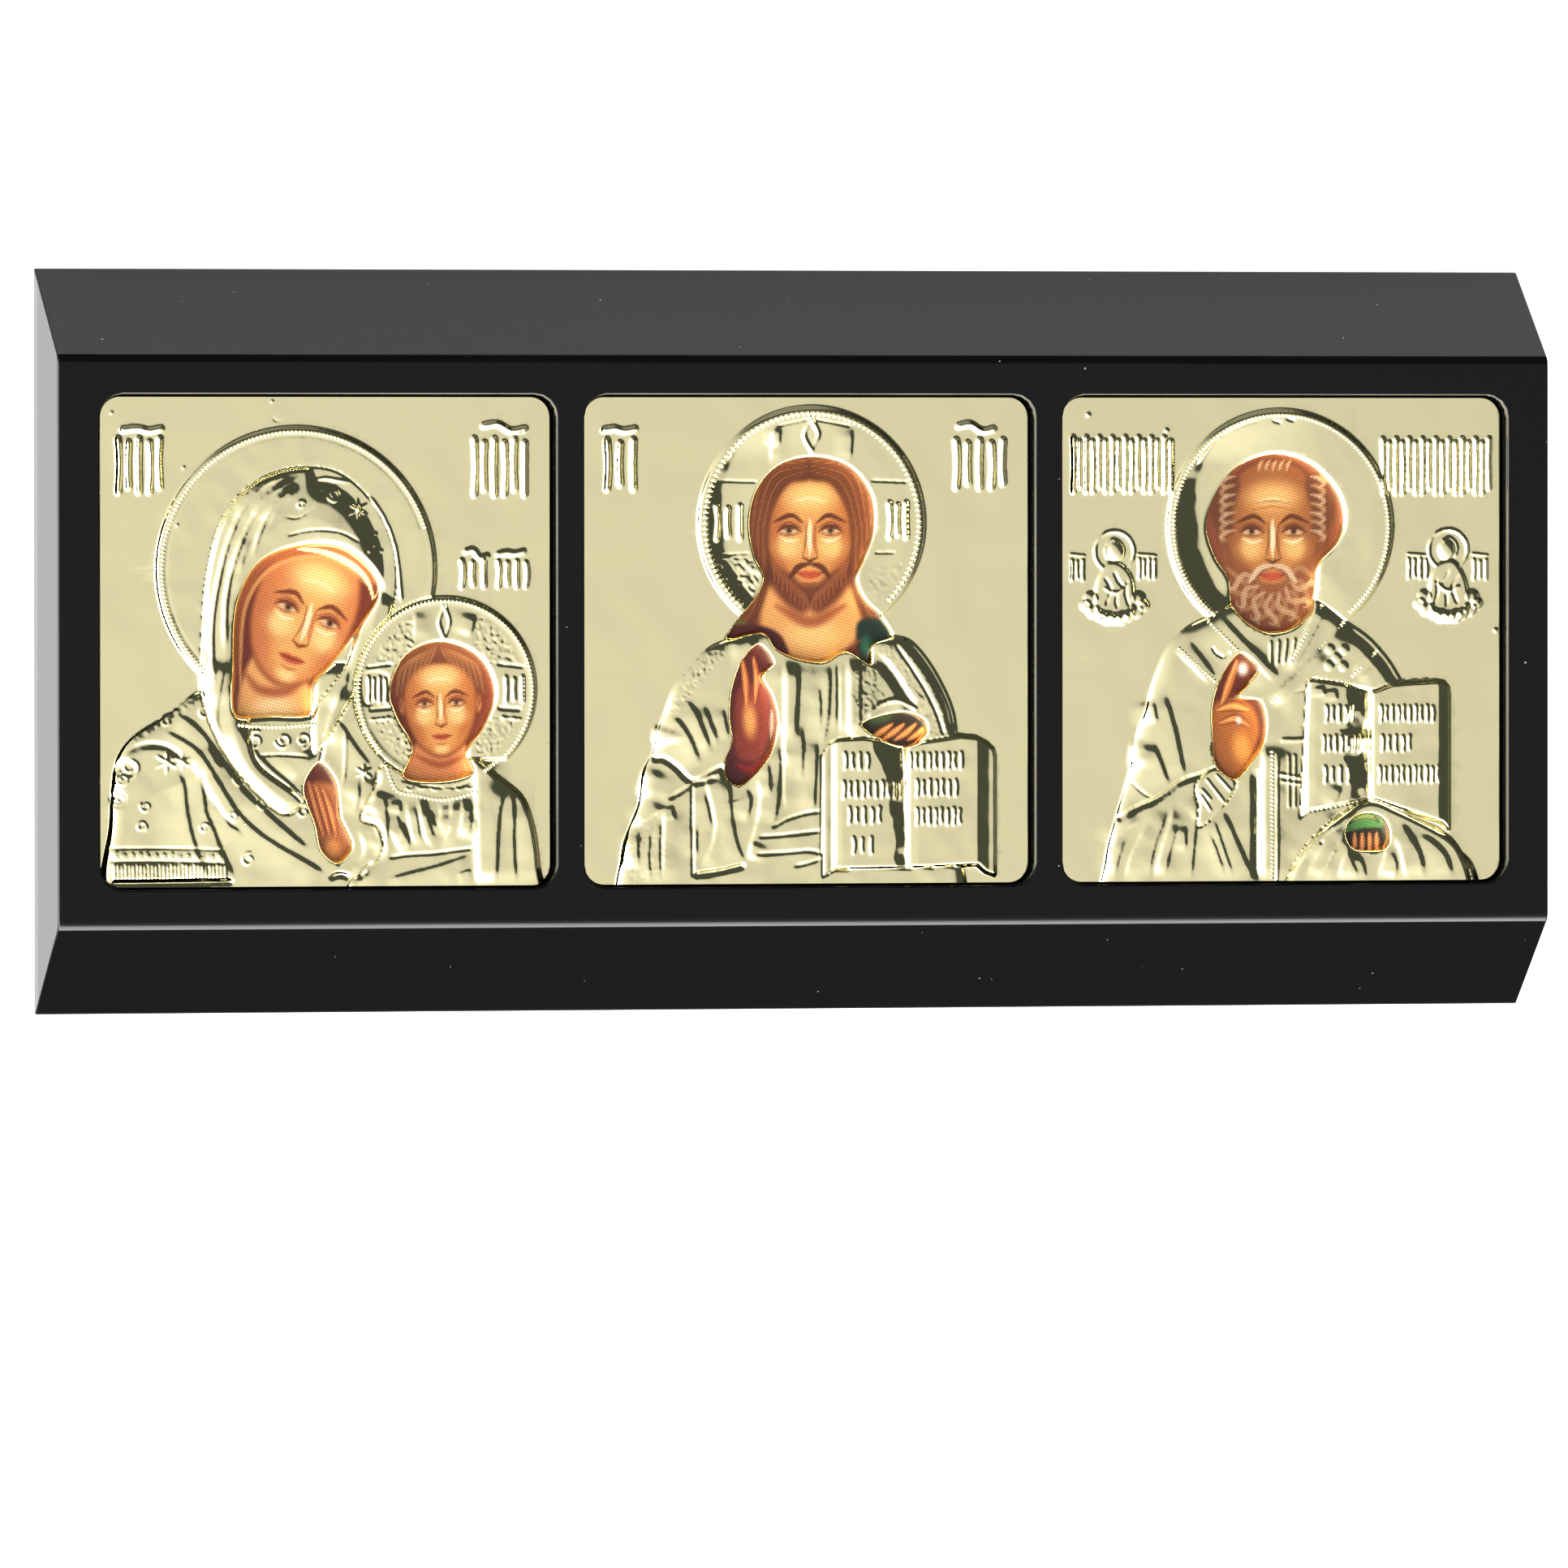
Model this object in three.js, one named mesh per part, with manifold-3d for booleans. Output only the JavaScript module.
// Triptych icon: a glossy black bar with three embossed gold-toned plates over printed cards.
// Units are millimetres. It lies on its flat back: +Z points out of the pictures, +Y up the
// figures and +X along the bar. The origin is the middle of the back.
import * as THREE from 'three';
import { mergeVertices } from 'three/addons/utils/BufferGeometryUtils.js';
import Module from 'manifold-3d';

const wasm = await Module();
wasm.setup();

// The bar: its section is widest at the back and narrows along two long bevels.
const BAR_LENGTH = 107.5;
const BACK_HEIGHT = 52;
const FRONT_HEIGHT = 39.5;
const BAR_DEPTH = 8.3;
const BACK_LIP = 0.35;
const FRONT_ROUND = 0.45;

// The three pockets and the plates and cards that lie in them.
const PLATE_PITCH = 34.5;
const PLATE_WIDTH = 32;
const PLATE_HEIGHT = 34;
const PLATE_CORNER = 1.4;
const POCKET_PLAY_X = 0.25;
const POCKET_PLAY_Y = 0.2;
const POCKET_FLOOR = 6.3;
const CARD_TOP = 6.6;

// Levels of the relief above the back of the bar.
const BURIED = 6;
const WINDOW_FOOT = 6.75;
const GROUND = 7.1;
const HALO_RIM = 7.5;
const ROBE = 7.55;
const CHILD = 7.75;
const PAGE = 7.9;
const CLOTH = 8;
const FOLD_RISE = 0.22;
const STROKE_RISE = 0.3;

// Widths of the relief's lines and slopes.
const ROBE_SLOPE = 0.35;
const HALO_WIDTH = 0.5;
const FOLD_HALF = 0.28;
const STROKE_HALF = 0.26;
const BOOK_STROKE_HALF = 0.14;
const WINDOW_FLARE = 0.45;
const WINDOW_RISE = 0.75;

// Fineness of the facets.
const OUTLINE_STEP = 1.7;
const WINDOW_STEP = 1.3;
const FOLD_STEP = 2;
const CORNER_STEPS = 4;

/** Turns a closed geometry into a solid, with shared corners merged and its faces outwards. */
function solidOf(geometry) {
  const bare = geometry.clone();
  bare.deleteAttribute('normal');
  bare.deleteAttribute('uv');
  const merged = mergeVertices(bare, 1e-4);
  const source = merged.index.array;
  const corners = [];
  for (let i = 0; i < source.length; i += 3) {
    const [a, b, c] = source.slice(i, i + 3);
    if (a !== b && b !== c && c !== a) corners.push(a, b, c);
  }
  const positions = merged.attributes.position;
  if (signedVolume(positions, corners) < 0) corners.reverse();
  return new wasm.Manifold(new wasm.Mesh({
    numProp: 3,
    vertProperties: new Float32Array(positions.array),
    triVerts: new Uint32Array(corners),
  }));
}

/** Volume enclosed by a closed mesh, negative where its faces point inwards. */
function signedVolume(positions, corners) {
  const [a, b, c] = [new THREE.Vector3(), new THREE.Vector3(), new THREE.Vector3()];
  let volume = 0;
  for (let i = 0; i < corners.length; i += 3) {
    a.fromBufferAttribute(positions, corners[i]);
    b.fromBufferAttribute(positions, corners[i + 1]);
    c.fromBufferAttribute(positions, corners[i + 2]);
    volume += a.dot(b.cross(c)) / 6;
  }
  return volume;
}

/** Turns a finished solid back into a geometry. */
function geometryOf(solid) {
  const mesh = solid.getMesh();
  const geometry = new THREE.BufferGeometry();
  geometry.setAttribute('position', new THREE.BufferAttribute(mesh.vertProperties, 3));
  geometry.setIndex(new THREE.BufferAttribute(mesh.triVerts, 1));
  geometry.computeVertexNormals();
  return geometry;
}

/** A closed smooth outline through a few points. */
function loop(points, step = OUTLINE_STEP) {
  const knots = points.map(([x, y]) => new THREE.Vector3(x, y, 0));
  const curve = new THREE.CatmullRomCurve3(knots, true, 'centripetal');
  const count = Math.round(curve.getLength() / step);
  return curve.getSpacedPoints(count).slice(0, count).map(({ x, y }) => new THREE.Vector2(x, y));
}

/** A rounded rectangle about the origin. */
function roundedRectangle(width, height, radius) {
  const points = [];
  for (const [sideX, sideY, start] of [[1, 1, 0], [-1, 1, 1], [-1, -1, 2], [1, -1, 3]]) {
    for (let i = 0; i <= CORNER_STEPS; i++) {
      const turn = (start + i / CORNER_STEPS) * Math.PI / 2;
      points.push(new THREE.Vector2(
        sideX * (width / 2 - radius) + radius * Math.cos(turn),
        sideY * (height / 2 - radius) + radius * Math.sin(turn),
      ));
    }
  }
  return points;
}

/** A straight prism over an outline, from one level to another. */
function prism(outline, low, high) {
  const geometry = new THREE.ExtrudeGeometry(new THREE.Shape(outline), {
    depth: high - low,
    bevelEnabled: false,
  });
  return solidOf(geometry.translate(0, 0, low));
}

/** A raised field: the outline at its foot, its top drawn in by a slope all round. */
function raised(outline, top, slope = ROBE_SLOPE) {
  const geometry = new THREE.ExtrudeGeometry(new THREE.Shape(outline), {
    depth: top - BURIED - 2 * slope,
    bevelThickness: slope,
    bevelSize: slope,
    bevelOffset: -slope,
    bevelSegments: 1,
  });
  return solidOf(geometry.translate(0, 0, BURIED + slope));
}

/** A window's cutter: straight through at its foot, flaring upwards to the relief. */
function windowCutter(points) {
  const outline = loop(points, WINDOW_STEP);
  const flare = new THREE.ExtrudeGeometry(new THREE.Shape(outline), {
    depth: BAR_DEPTH - WINDOW_FOOT,
    bevelThickness: WINDOW_RISE,
    bevelSize: WINDOW_FLARE,
    bevelSegments: 1,
  });
  const through = prism(outline, BURIED - 1, BAR_DEPTH);
  return through.add(solidOf(flare.translate(0, 0, WINDOW_FOOT + WINDOW_RISE)));
}

/**
 * A fold or stroke along a few points: a roof-shaped blade with pointed ends.
 * With its crest above its edge it is a ridge to join, and below it a groove to cut.
 */
function blade(points, half, edge, crest, step = FOLD_STEP) {
  const knots = points.map(([x, y]) => new THREE.Vector3(x, y, 0));
  const curve = new THREE.CatmullRomCurve3(knots, false, 'centripetal');
  const steps = Math.max(3, Math.round(curve.getLength() / step));
  const corners = [curve.getPointAt(0).setZ(edge)];
  for (let i = 1; i < steps; i++) {
    const middle = curve.getPointAt(i / steps);
    const along = curve.getTangentAt(i / steps);
    const side = new THREE.Vector3(-along.y, along.x, 0).multiplyScalar(half);
    corners.push(
      middle.clone().add(side).setZ(edge),
      middle.clone().sub(side).setZ(edge),
      middle.clone().setZ(crest),
    );
  }
  corners.push(curve.getPointAt(1).setZ(edge));
  const last = corners.length - 1;
  const faces = [0, 3, 1, 0, 2, 3, 0, 1, 2];
  for (let a = 1; a + 3 < last; a += 3) {
    const b = a + 3;
    faces.push(a, b + 2, b, a, a + 2, b + 2);
    faces.push(a + 1, b + 1, b + 2, a + 1, b + 2, a + 2);
    faces.push(a, b, b + 1, a, b + 1, a + 1);
  }
  faces.push(last - 3, last - 1, last, last - 2, last, last - 1, last - 3, last, last - 2);
  const geometry = new THREE.BufferGeometry().setFromPoints(corners);
  geometry.setIndex(faces);
  return solidOf(geometry);
}

/** A solid of revolution about a point of the plate, from a profile of radius and level. */
function turned(profile, [x, y], segments) {
  const points = profile.map(([radius, level]) => new THREE.Vector2(radius, level));
  const geometry = new THREE.LatheGeometry(points, segments);
  return solidOf(geometry.rotateX(Math.PI / 2).translate(x, y, 0));
}

/** Folds that run evenly between two guide lines of as many points. */
function between(first, last, count) {
  return Array.from({ length: count }, (_, i) => first.map(([x, y], k) => [
    THREE.MathUtils.lerp(x, last[k][0], i / (count - 1)),
    THREE.MathUtils.lerp(y, last[k][1], i / (count - 1)),
  ]));
}

/** Upright strokes side by side that aren't letters, leaning to and fro by turns. */
function strokes([left, right], [bottom, top], count, lean = 0.25) {
  return Array.from({ length: count }, (_, i) => {
    const x = THREE.MathUtils.lerp(left, right, i / (count - 1));
    const tip = lean * Math.cos(2.2 * i);
    return [[x - tip, bottom], [x + tip, top]];
  });
}

/** One embossed plate, built up feature by feature in its own frame. */
class Plate {
  constructor() {
    this.solid = prism(roundedRectangle(PLATE_WIDTH + 4, PLATE_HEIGHT + 4, 1), BURIED, GROUND);
    this.windows = [];
  }

  join(...parts) {
    for (const part of parts) this.solid = this.solid.add(part);
    return this;
  }

  cut(...parts) {
    for (const part of parts) this.solid = this.solid.subtract(part);
    return this;
  }

  /** A halo: a dished disc with a rounded rim, standing in front of what is already there. */
  halo(centre, radius) {
    const segments = Math.round(radius * 4);
    const disc = [[0, GROUND], [radius, GROUND], [radius, BAR_DEPTH], [0, BAR_DEPTH]];
    this.cut(turned(disc, centre, segments));
    return this.join(turned([
      [radius, BURIED],
      [radius, GROUND],
      [radius - HALO_WIDTH / 2, HALO_RIM],
      [radius - HALO_WIDTH, GROUND + 0.1],
      [radius - HALO_WIDTH, BURIED],
      [radius, BURIED],
    ], centre, segments));
  }

  raise(points, top, slope) {
    return this.join(raised(loop(points), top, slope));
  }

  /** Ridges on a field whose top is at the given level. */
  folds(lines, top, half = FOLD_HALF) {
    return this.join(...lines.map((line) => blade(line, half, top - 0.06, top + FOLD_RISE)));
  }

  /** Strokes of an inscription, or of the lines on a page. */
  write(lines, top = GROUND, half = STROKE_HALF) {
    const rise = STROKE_RISE * half / STROKE_HALF;
    return this.join(...lines.map((line) => blade(line, half, top - 0.05, top + rise)));
  }

  window(points) {
    this.windows.push(windowCutter(points));
    return this;
  }

  /** A low round boss, for beads, heads and clouds. */
  boss(centre, radius, top) {
    const rise = top - GROUND;
    return this.join(turned([
      [0, BURIED],
      [radius, BURIED],
      [radius, GROUND],
      [radius * 0.7, GROUND + rise * 0.75],
      [0, top],
    ], centre, 8));
  }

  /** A six-pointed star of three crossed ridges. */
  star([x, y], radius, top) {
    const lines = [0, 1, 2].map((i) => {
      const [dx, dy] = [radius * Math.sin(i * Math.PI / 3), radius * Math.cos(i * Math.PI / 3)];
      return [[x - dx, y - dy], [x + dx, y + dy]];
    });
    return this.write(lines, top, 0.2);
  }

  /** An open book seen from the front: two pages that dip to the gutter, with page edges. */
  book({ left, gutter, right, bottom, top, lean }) {
    const section = [
      [left, BURIED], [left, GROUND], [left + 0.9, PAGE], [gutter - 1.2, PAGE - 0.1],
      [gutter, PAGE - 0.4], [gutter + 0.8, PAGE - 0.1], [right - 1.2, PAGE],
      [right, GROUND], [right, BURIED],
    ].map(([x, level]) => new THREE.Vector2(x, level));
    const geometry = new THREE.ExtrudeGeometry(new THREE.Shape(section), {
      depth: top - bottom,
      bevelEnabled: false,
    });
    geometry.rotateX(Math.PI / 2).translate(0, top, 0);
    geometry.applyMatrix4(new THREE.Matrix4().makeShear(lean, 0, 0, 0, 0, 0));
    geometry.translate(0, -lean * gutter, 0);
    const outline = [[left, bottom], [right, bottom], [right, top], [left, top]]
      .map(([x, y]) => new THREE.Vector2(x, y + lean * (x - gutter)));
    this.cut(prism(outline, GROUND, BAR_DEPTH));
    return this.join(solidOf(geometry));
  }

  /** Cuts the windows and trims everything to the plate's own outline and levels. */
  finish() {
    this.cut(...this.windows);
    const outline = roundedRectangle(PLATE_WIDTH, PLATE_HEIGHT, PLATE_CORNER);
    return geometryOf(this.solid.intersect(prism(outline, CARD_TOP, BAR_DEPTH)));
  }
}

/** Left plate: a veiled mother holding a child, each with a halo. */
function motherAndChildPlate() {
  const child = [8.5, -3.4];
  return new Plate()
    .halo([-2.1, 5], 10)
    .raise([
      [-15.3, -19], [-15.4, -12.5], [-14.9, -8.2], [-13, -5.9], [-8.9, -3.6], [-8.6, 2.8],
      [-7.2, 8.8], [-4, 11.6], [0.3, 11.8], [3.8, 8.8], [5.4, 4], [4, -6], [4, -19],
    ], ROBE)
    .folds(between(
      [[-8.2, -1], [-8, 4.8], [-6.3, 9.4], [-3, 11.4]],
      [[-7.3, 0], [-6.9, 4.6], [-4.7, 7.6], [0.6, 7.9]],
      4,
    ), ROBE)
    .folds(between(
      [[-10.8, -5.4], [-7.3, -8.6], [-4.5, -12.1], [-1.2, -15.1]],
      [[-11.5, -6.6], [-8.4, -9.6], [-5.6, -13], [-1.4, -16.6]],
      3,
    ), ROBE)
    .folds(between(
      [[-9.4, -9.4], [-8.3, -12], [-7.4, -14.2]],
      [[-13.6, -8.8], [-13.8, -12], [-13.9, -14.2]],
      4,
    ), ROBE)
    .folds(between(
      [[-15.4, -14.5], [-11.5, -14.6], [-7.4, -15]],
      [[-15.4, -15.5], [-11.5, -15.7], [-7.4, -16]],
      2,
    ), ROBE, 0.2)
    .folds(between(
      [[-6.6, -6], [-3.6, -6.1], [-0.6, -5.7]],
      [[-5.4, -8], [-3, -8.2], [-0.2, -7.6]],
      2,
    ), ROBE, 0.2)
    .folds([
      [[3, -0.2], [1.3, -3.4], [-0.2, -7.4]],
      [[-8.4, -4], [-7.2, -7.4], [-4.4, -9.4], [-1.6, -11.6]],
      [[-2.4, 7.9], [1.2, 7.8], [4.4, 4.4]],
    ], ROBE)
    .star([-11.4, -7.9], 0.9, ROBE)
    .star([2.4, 9], 0.9, ROBE)
    .raise([
      [2, -19], [1.9, -14.7], [2.5, -11.7], [3.4, -9.2], [6.5, -8.6], [10.8, -8.5],
      [13, -10.1], [14.8, -12], [15.4, -19],
    ], CHILD)
    .star([2.7, -9.3], 0.8, ROBE)
    .halo(child, 6.5)
    .write([
      [[2.4, -1.7], [4.8, -1.5]], [[2.4, -5], [4.9, -5]], [[12.2, -1.5], [14.6, -1.7]],
      [[12.2, -5], [14.5, -5.2]], [[6.4, 0.2], [6.3, 2.5]], [[10.7, 0], [10.8, 2.2]],
      [[8.5, 0.6], [8.5, 2.2]],
    ], GROUND, 0.18)
    .folds([[[4.1, -8.7], [5.2, -10.4], [8.2, -11.1], [10.7, -10.4]]], CHILD)
    .folds(between(
      [[7.1, -11.9], [7.9, -14.2], [8.9, -12]],
      [[4.4, -12.2], [6.8, -15.6], [10, -12]],
      4,
    ), CHILD, 0.2)
    .folds(between(
      [[10.9, -9], [10.9, -13], [10.9, -18]],
      [[13.9, -11.2], [14.8, -14], [15, -18]],
      4,
    ), CHILD)
    .folds(between(
      [[3.4, -9.9], [2.9, -12.2], [2.3, -15]],
      [[4, -10.6], [4.3, -13], [4, -15.2]],
      2,
    ), CHILD, 0.2)
    .window([
      [-6.5, -5.2], [-6.8, -1.5], [-6.3, 3], [-4.4, 5.8], [-1.2, 6.9], [1.8, 6], [4, 3.8],
      [2.8, 1], [0.3, -2.3], [-1.2, -3.6], [-1.5, -5.3], [-4, -5.4],
    ])
    .window([
      [4.5, -3.6], [5.6, -0.9], [8.3, 0], [11.2, -1.1], [12.3, -3.5], [11.3, -6.2],
      [10.2, -7.8], [10.3, -9.1], [8.2, -10], [5.6, -9.5], [6, -7.4], [5.1, -5.5],
    ])
    .window([
      [-0.6, -8.6], [0.8, -9.9], [1.1, -12.4], [1.7, -14.3], [0.8, -15.6], [-0.4, -14.8],
      [-0.9, -12.8], [-1.7, -10],
    ])
    .write(strokes([-14.5, -11.9], [10.3, 14], 5))
    .write([[[-14.6, 14.8], [-13, 15], [-11.5, 14.9]], [[11.4, 15.1], [13, 14.9], [14.6, 15]]])
    .write(strokes([10.8, 14.5], [10, 14.1], 5))
    .write(strokes([9.7, 11.3], [3.8, 5.6], 3, 0.15), GROUND, 0.2)
    .write(strokes([12.3, 14.4], [3.8, 5.6], 3, 0.15), GROUND, 0.2)
    .write([[[9.9, 6.2], [11.6, 6]], [[12.2, 6.1], [14.2, 6.3]]], GROUND, 0.2)
    .finish();
}

/** Middle plate: a half-length figure with a raised hand and an open book. */
function blessingPlate() {
  const book = { left: 1, gutter: 6.8, right: 13.8, bottom: -16.4, top: -6.9, lean: 0 };
  return new Plate()
    .halo([0.45, 8.35], 8.15)
    .write([
      [[-2.3, 12.2], [-2.5, 15.2]], [[3.1, 12.2], [3.3, 15.2]],
      [[-7.2, 11.2], [-3.6, 11]], [[4.5, 11.3], [7.8, 11.1]],
      [[-7.2, 6], [-4, 6]], [[4.6, 6], [7.6, 6.1]],
      [[0, 13.4], [-0.1, 14.6], [0.4, 15.5]], [[0.5, 13.3], [1, 14.4], [0.5, 15.5]],
    ], GROUND, 0.16)
    .write(strokes([-6.3, -4.8], [7.2, 9.5], 3, 0.15), GROUND, 0.22)
    .write(strokes([6.1, 7.2], [7.2, 9.5], 3, 0.15), GROUND, 0.22)
    .raise([
      [-13.4, -19], [-13.2, -14.5], [-11.9, -9.9], [-10.8, -7], [-9.9, -3.9], [-7.6, -0.9],
      [-5.6, 0.2], [0, 2], [6, 0.3], [8.2, -0.4], [10.1, -3.4], [11, -7], [10, -12], [8, -19],
    ], ROBE)
    .folds(between(
      [[-9.8, -5.2], [-8.6, -7.7], [-7.7, -9]],
      [[-7, -4.2], [-6.4, -6], [-6.5, -7.8]],
      3,
    ), ROBE)
    .folds([
      [[-11.5, -8.3], [-9.5, -8.9], [-8, -9.8], [-6, -8.8]],
      [[-12.6, -13], [-10.5, -11.4], [-8, -10.1]],
    ], ROBE)
    .folds(between(
      [[-12.3, -13.6], [-12.6, -15.4], [-12.9, -18]],
      [[-8.4, -10.7], [-8.3, -13], [-8.4, -18]],
      5,
    ), ROBE)
    .folds([
      [[-7.3, -10.1], [-6.7, -12.5], [-7.6, -15.8]],
      [[-5.7, -10.4], [-5.4, -13.8], [-4.6, -15.6], [-3.8, -13.6], [-3.5, -10.4]],
    ], ROBE)
    .folds(between(
      [[-1.7, -1.8], [-1.7, -7], [-1.7, -12.2]],
      [[0.7, -2], [0.8, -6], [0.7, -11.6]],
      3,
    ), ROBE)
    .folds(between(
      [[1.6, -2], [1.6, -4.4], [1.4, -6.8]],
      [[4, -2], [3.9, -3.6], [3.6, -5.6]],
      3,
    ), ROBE)
    .folds(between(
      [[-3.6, -13.9], [-1.2, -12.9], [0.9, -12.3]],
      [[-3.4, -16], [-1.2, -16.2], [0.9, -15.9]],
      4,
    ), ROBE, 0.2)
    .folds(between(
      [[5, -1.4], [6.4, -3.4], [7.9, -5]],
      [[7.6, -0.5], [9.5, -3.3], [10.5, -6.6]],
      4,
    ), ROBE)
    .book(book)
    .write(pageStrokes([2.9, 6], -8.5, -14.5, 4), PAGE - 0.12, BOOK_STROKE_HALF)
    .write(pageStrokes([8, 11.6], -8.5, -12.4, 3), PAGE - 0.1, BOOK_STROKE_HALF)
    .window([
      [0.4, 12.9], [-2.6, 11.8], [-4.2, 8.5], [-3.4, 4.1], [-5.8, 0.5], [-3, 0.2],
      [-1, -1.5], [1.4, -1.7], [3, -1.1], [4.7, -1.3], [6, 0.4], [4.1, 4], [5, 8], [3.8, 11.6],
    ])
    .window([
      [-3.4, -0.4], [-2.6, -1.8], [-2.9, -3], [-2.1, -5.2], [-2.6, -8], [-4.7, -10],
      [-5.9, -8.6], [-5.4, -7], [-5.5, -3.7], [-4.4, -0.9],
    ])
    .window([
      [4, -6.1], [5.4, -5.3], [7.4, -5.2], [8.9, -6.1], [8.4, -7.3], [6.7, -7.9], [5.2, -7.2],
    ])
    .write(strokes([-14.4, -12.4], [10.5, 14], 4))
    .write([[[-14.8, 15], [-13.4, 14.9], [-12.1, 15]], [[11, 15.2], [12.4, 15], [13.8, 15]]])
    .write(strokes([11, 14.1], [10.8, 14.2], 5))
    .finish();
}

/** Rows of short strokes that aren't letters, down one page of a book. */
function pageStrokes([left, right], first, last, rows) {
  return between([[left, first], [right, first]], [[left, last], [right, last]], rows)
    .flatMap(([start, end], row) => {
      const reach = end[0] - (row % 2) * 0.9;
      return strokes([start[0], reach], [start[1] - 0.55, start[1] + 0.55], 5 - (row % 2), 0.12);
    });
}

/** A small half-length figure with a ring halo on a bank of clouds. */
function smallFigure(plate, [x, y], lean) {
  plate.join(turned([
    [1.5, BURIED],
    [1.5, GROUND],
    [1.35, GROUND + 0.25],
    [1.2, GROUND],
    [1.2, BURIED],
    [1.5, BURIED],
  ], [x, y], 12));
  plate.boss([x, y], 0.8, GROUND + 0.35);
  plate.boss([x + 0.3 * lean, y - 2.4], 1.4, GROUND + 0.4);
  plate.boss([x - 1.1 * lean, y - 3.2], 0.9, GROUND + 0.3);
  for (let i = 0; i < 5; i++) {
    plate.boss([x - 2 + i, y - 4.4 - 0.5 * Math.sin(i * Math.PI / 4)], 0.7, GROUND + 0.3);
  }
  return plate;
}

/** Right plate: a bearded bishop with a stole, a raised hand and a book on a cloth. */
function bishopPlate() {
  const book = { left: 1.5, gutter: 6.7, right: 12.4, bottom: -13, top: -3, lean: -0.03 };
  const arch = [6.3, -14];
  const rays = [-68, -52, -36, -20, 24, 40, 56, 70].map((degrees) => {
    const turn = THREE.MathUtils.degToRad(degrees);
    return [2.4, 4.2, 6].map((r) => [
      arch[0] + r * Math.sin(turn) * 1.15,
      arch[1] + 1.4 - r * Math.cos(turn) * 0.85,
    ]);
  });
  const plate = new Plate()
    .halo([-0.05, 8], 8.25)
    .raise([
      [-12.9, -19], [-12.5, -14.7], [-11, -9.4], [-9.9, -5.2], [-8.3, -1.2], [-5.4, 1.9],
      [0, 2.5], [5, 1.9], [7.5, -0.6], [9, -3.4], [9, -12], [9, -19],
    ], ROBE)
    .folds([
      [[-8, -0.6], [-6.2, -1.9], [-4.6, -3.4]],
      [[-4.6, 1.8], [-2.4, -0.6], [-0.1, -3]],
      [[5, 1.8], [2.4, -1.2], [-0.8, -4.8]],
      [[2.9, 1.9], [1.6, -0.4], [0, -3]],
      [[7.2, -1], [6, -2], [4.6, -2.8]],
      [[-12, -12.9], [-10, -11.8], [-7.2, -10.4], [-5, -9.4]],
      [[-5, -12.4], [-3.9, -14.2], [-2.4, -17.4]],
      [[-6.2, -10.4], [-5.2, -12.6]],
      [[-1.3, -7.4], [-1.3, -12], [-1.3, -18]],
      [[-0.2, -7.8], [-0.2, -12], [-0.2, -18]],
    ], ROBE)
    .folds(between(
      [[-0.5, -0.1], [-0.5, -1.2], [-0.5, -2.4]],
      [[0.7, -0.1], [0.7, -1], [0.7, -2]],
      3,
    ), ROBE, 0.16)
    .folds(between(
      [[-9.6, -7.6], [-8.9, -9.2], [-8.3, -10.2]],
      [[-8.7, -4.2], [-8, -6.8], [-7.3, -9.4]],
      2,
    ), ROBE)
    .folds(between(
      [[-8.9, -12], [-10.8, -13.8], [-12, -18]],
      [[-6.3, -11.4], [-6.3, -13.6], [-6.9, -18]],
      5,
    ), ROBE)
    .folds([
      [[0.6, -8.2], [0.6, -11.8]], [[-0.1, -9.6], [1.3, -9.6]],
      [[3.6, -1.9], [5, -0.7]], [[3.8, -0.9], [4.8, -1.8]],
      [[-5.1, -0.6], [-4, -1.3]],
    ], ROBE, 0.2)
    .book(book)
    .write(pageStrokes([3, 5.6], -5.2, -9.8, 3), PAGE - 0.14, BOOK_STROKE_HALF)
    .write(pageStrokes([7.8, 10.9], -5.4, -9.9, 3), PAGE - 0.12, BOOK_STROKE_HALF)
    .raise([
      [5.9, -12], [8, -12.2], [10.2, -13.1], [12.3, -14.5], [13.7, -17], [14, -19], [0, -19],
      [0.4, -16.5], [2, -14.2], [4, -12.7],
    ], CLOTH)
    .folds(rays, CLOTH)
    .window([
      [-0.3, 13.1], [2.9, 11.8], [4.8, 8.6], [3, 5], [2.5, 2.2], [-0.8, 0.2], [-3.6, 2.2],
      [-4, 4.6], [-5.3, 7.6], [-4, 11.6],
    ])
    .window([
      [-3.1, -1.2], [-2, -2.2], [-2.5, -3.5], [-1.4, -4.8], [-1.4, -7.2], [-3.6, -9.9],
      [-4.9, -8.2], [-5, -4.5], [-4.1, -2.4],
    ])
    .window([
      [4.7, -13.9], [5.2, -12.9], [6.3, -12.5], [7.3, -12.9], [7.8, -13.9], [7.6, -15],
      [6.2, -15.2], [5, -15],
    ])
    .write(strokes([-15.1, -8], [10.5, 14.2], 13, 0.12), GROUND, 0.2)
    .write(strokes([7.9, 15.2], [10.4, 14.1], 13, 0.12), GROUND, 0.2);
  smallFigure(plate, [-12.2, 6.2], 1);
  smallFigure(plate, [12.2, 6.3], -1);
  return plate.finish();
}

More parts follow.
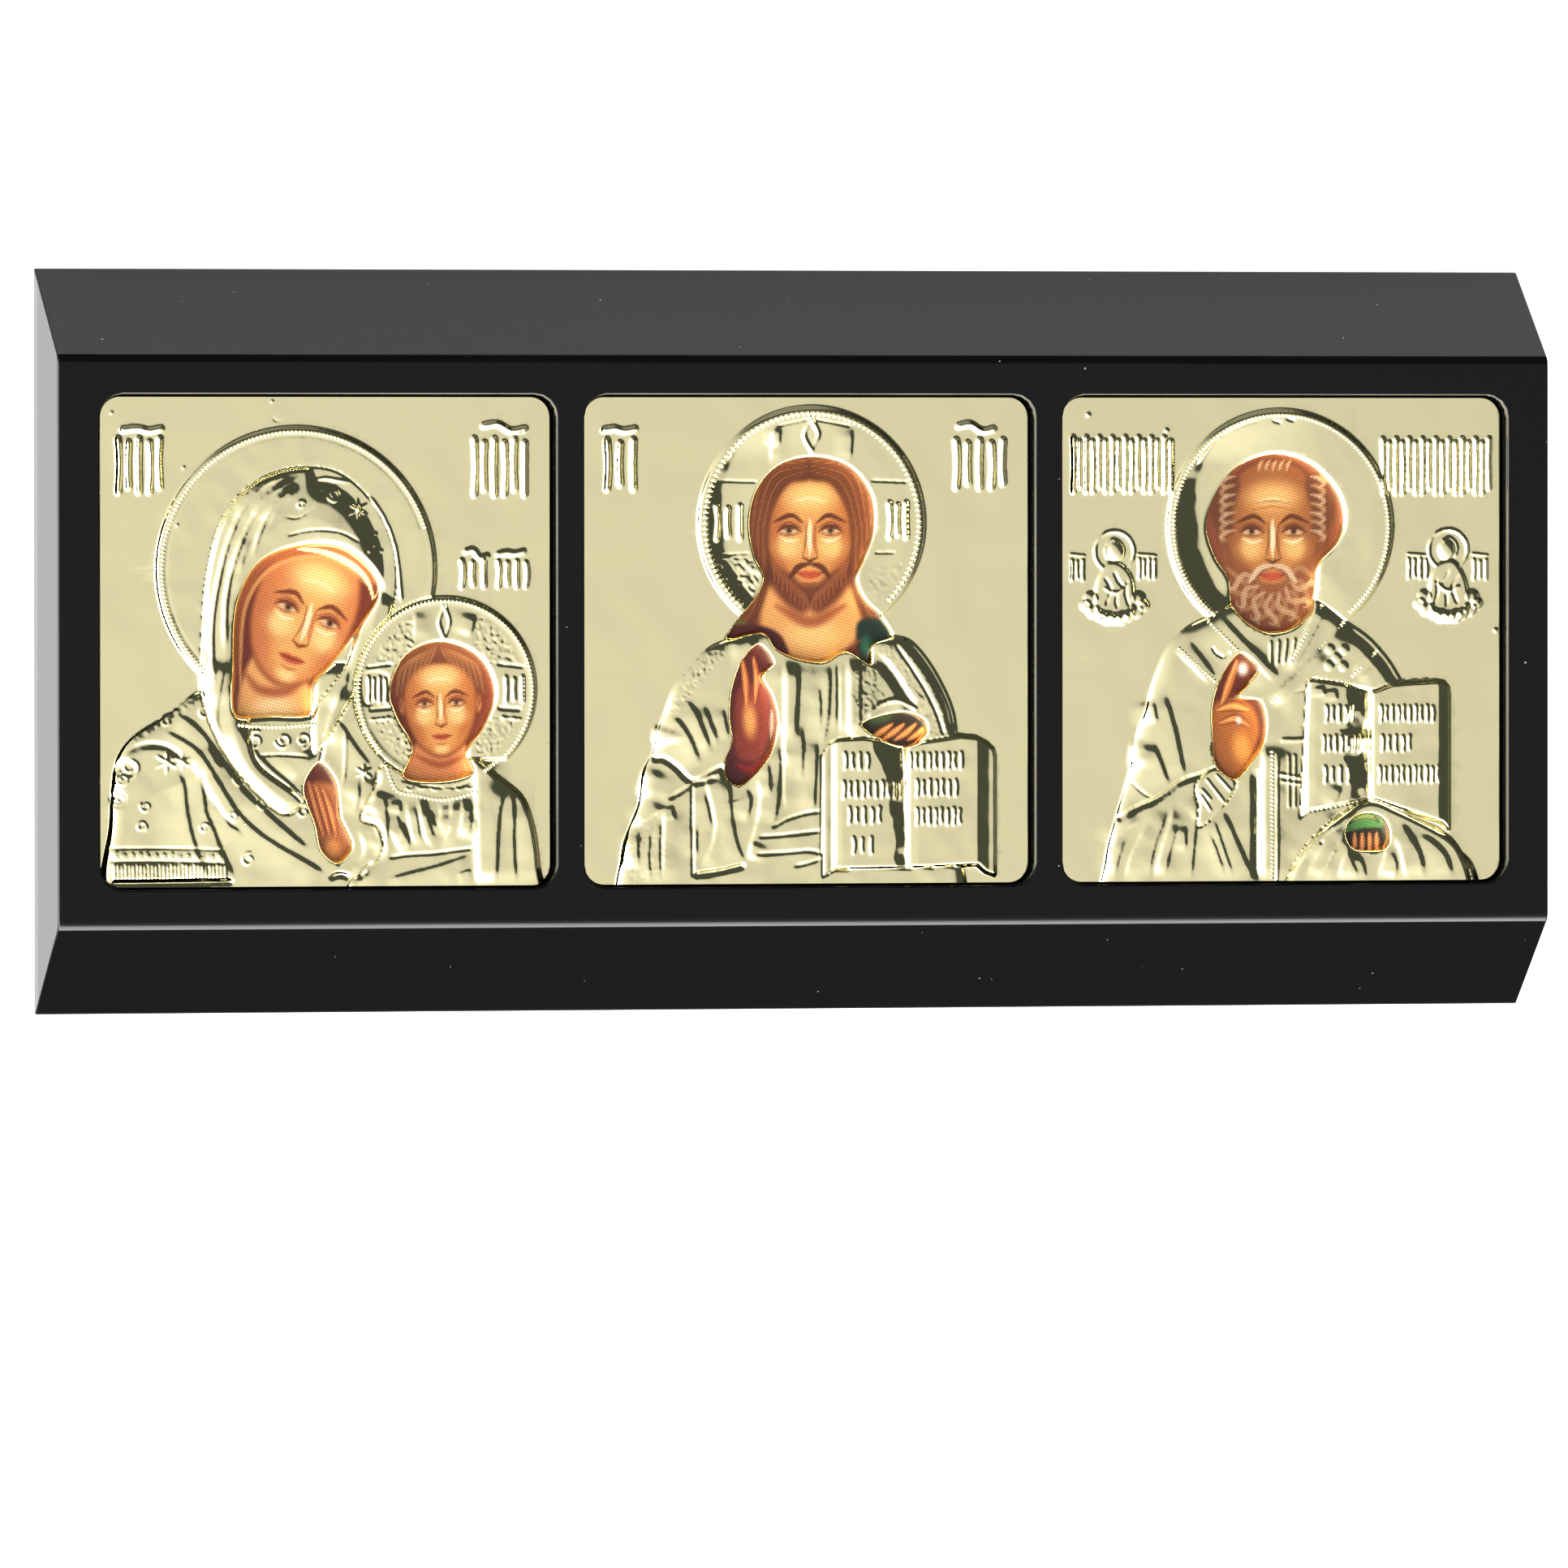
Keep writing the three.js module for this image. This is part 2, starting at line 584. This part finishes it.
/** The bar: its section pushed along its length, with a pocket for each plate. */
function barBody() {
  const [back, front] = [BACK_HEIGHT / 2, FRONT_HEIGHT / 2];
  const bevel = new THREE.Vector2(front - back, BAR_DEPTH - BACK_LIP).normalize();
  const section = new THREE.Shape();
  section.moveTo(-back, 0);
  section.lineTo(back, 0);
  section.lineTo(back, BACK_LIP);
  const [roundX, roundY] = [front - bevel.x * FRONT_ROUND, BAR_DEPTH - bevel.y * FRONT_ROUND];
  section.lineTo(roundX, roundY);
  section.quadraticCurveTo(front, BAR_DEPTH, front - FRONT_ROUND, BAR_DEPTH);
  section.lineTo(FRONT_ROUND - front, BAR_DEPTH);
  section.quadraticCurveTo(-front, BAR_DEPTH, -roundX, roundY);
  section.lineTo(-back, BACK_LIP);
  const bar = new THREE.ExtrudeGeometry(section, {
    depth: BAR_LENGTH,
    bevelEnabled: false,
    curveSegments: 4,
  });
  const turn = new THREE.Matrix4().makeBasis(
    new THREE.Vector3(0, 1, 0),
    new THREE.Vector3(0, 0, 1),
    new THREE.Vector3(1, 0, 0),
  );
  bar.applyMatrix4(turn).translate(-BAR_LENGTH / 2, 0, 0);
  const pocket = roundedRectangle(
    PLATE_WIDTH + 2 * POCKET_PLAY_X,
    PLATE_HEIGHT + 2 * POCKET_PLAY_Y,
    PLATE_CORNER + POCKET_PLAY_Y,
  );
  let solid = solidOf(bar);
  for (const place of [-1, 0, 1]) {
    const cutter = prism(pocket, POCKET_FLOOR, BAR_DEPTH + 1);
    solid = solid.subtract(cutter.translate([place * PLATE_PITCH, 0, 0]));
  }
  return geometryOf(solid);
}

/** A printed card, as wide and high as the plate over it. */
function printedCard() {
  const outline = roundedRectangle(PLATE_WIDTH, PLATE_HEIGHT, PLATE_CORNER);
  return geometryOf(prism(outline, POCKET_FLOOR, CARD_TOP));
}

const blackPlastic = () => new THREE.MeshStandardMaterial({ color: '#151618', roughness: 0.15 });
const goldFoil = () => new THREE.MeshStandardMaterial({
  color: '#d8d0a2',
  roughness: 0.12,
  metalness: 1,
});
const printedPaper = () => new THREE.MeshStandardMaterial({ color: '#b9713f', roughness: 0.5 });

const triptych = new THREE.Group();

function place(name, geometry, material, x = 0) {
  const mesh = new THREE.Mesh(geometry, material);
  mesh.name = name;
  mesh.position.x = x;
  triptych.add(mesh);
}

place('body', barBody(), blackPlastic());
place('mother_and_child_plate', motherAndChildPlate(), goldFoil(), -PLATE_PITCH);
place('blessing_plate', blessingPlate(), goldFoil());
place('bishop_plate', bishopPlate(), goldFoil(), PLATE_PITCH);
place('mother_and_child_print', printedCard(), printedPaper(), -PLATE_PITCH);
place('blessing_print', printedCard(), printedPaper());
place('bishop_print', printedCard(), printedPaper(), PLATE_PITCH);

export default triptych;
